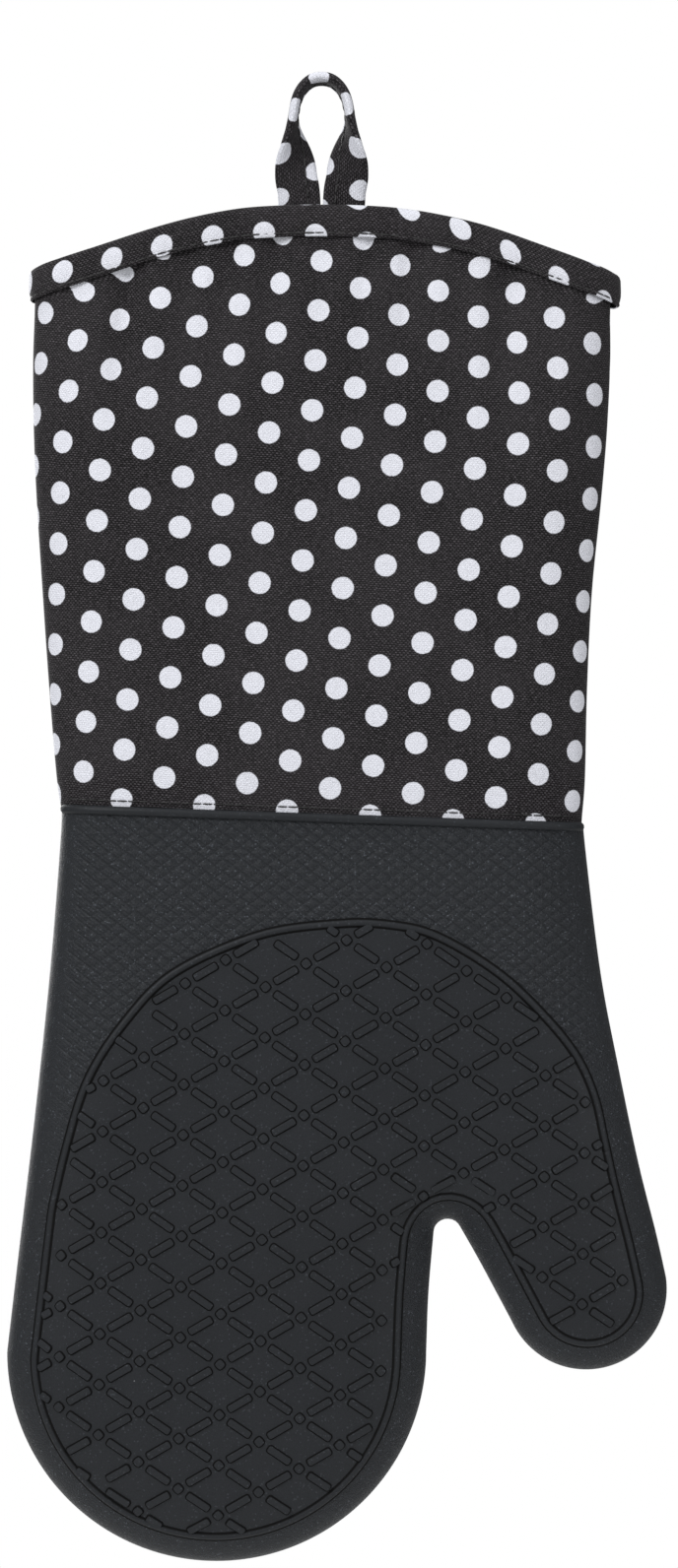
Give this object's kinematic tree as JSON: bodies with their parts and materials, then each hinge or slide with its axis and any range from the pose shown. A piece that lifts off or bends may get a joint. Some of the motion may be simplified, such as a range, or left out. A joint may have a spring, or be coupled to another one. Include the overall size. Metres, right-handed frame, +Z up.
{
  "type": "oven mitt",
  "caption": "Hanging oven mitt: a padded, dotted cotton cuff with a bound mouth and a hanging loop, sewn to a hollow silicone hand with a thumb.",
  "frame": {"origin": "the point inside the top of the hanging loop where a hook bears", "axes": "+Z up along the hanging mitt, +X towards the thumb, -Y out of the front of the hand"},
  "size_m": [0.1806, 0.0284, 0.4068],
  "materials": {
    "silicone": "matte",
    "cuff_cloth": "matte",
    "binding_cloth": "matte",
    "tape_cloth": "matte",
    "lining_cloth": "matte",
    "wadding": "matte",
    "sewing_thread": "satin"
  },
  "bodies": {
    "loop": {"hanging_loop": "tape_cloth"},
    "cuff": {"loop_sewn_end_left": "tape_cloth", "loop_sewn_end_right": "tape_cloth", "loop_stitching": "sewing_thread", "mouth_binding": "binding_cloth", "binding_stitching_front": "sewing_thread", "binding_stitching_back": "sewing_thread", "cuff_front_panel": "cuff_cloth", "cuff_back_panel": "cuff_cloth", "cuff_front_wadding": "wadding", "cuff_back_wadding": "wadding", "cuff_front_lining": "lining_cloth", "cuff_back_lining": "lining_cloth"},
    "palm": {"wrist_front_panel": "cuff_cloth", "wrist_back_panel": "cuff_cloth", "seam_stitching_front": "sewing_thread", "seam_stitching_back": "sewing_thread", "palm_silicone_skin": "silicone", "palm_wadding": "wadding", "palm_lining": "lining_cloth"},
    "fingers": {"fingers_silicone_skin": "silicone", "fingers_wadding": "wadding", "fingers_lining": "lining_cloth"},
    "thumb": {"thumb_silicone_skin": "silicone", "thumb_wadding": "wadding", "thumb_lining": "lining_cloth"}
  },
  "joints": [
    {"name": "loop_swing", "type": "hinge", "parent": "loop", "child": "cuff", "pos_m": [0, 0.0029, -0.0302], "axis": [1, 0, 0], "range_deg": [-75, 75]},
    {"name": "wrist_fold", "type": "hinge", "parent": "cuff", "child": "palm", "pos_m": [0, 0, -0.1804], "axis": [1, 0, 0], "range_deg": [-60, 60]},
    {"name": "knuckle_fold", "type": "hinge", "parent": "palm", "child": "fingers", "pos_m": [0, 0, -0.335], "axis": [1, 0, 0], "range_deg": [-60, 60]},
    {"name": "thumb_fold", "type": "hinge", "parent": "palm", "child": "thumb", "pos_m": [0.04192, 0, -0.32694], "axis": [0.9135, 0, 0.4067], "range_deg": [-55, 55]}
  ]
}
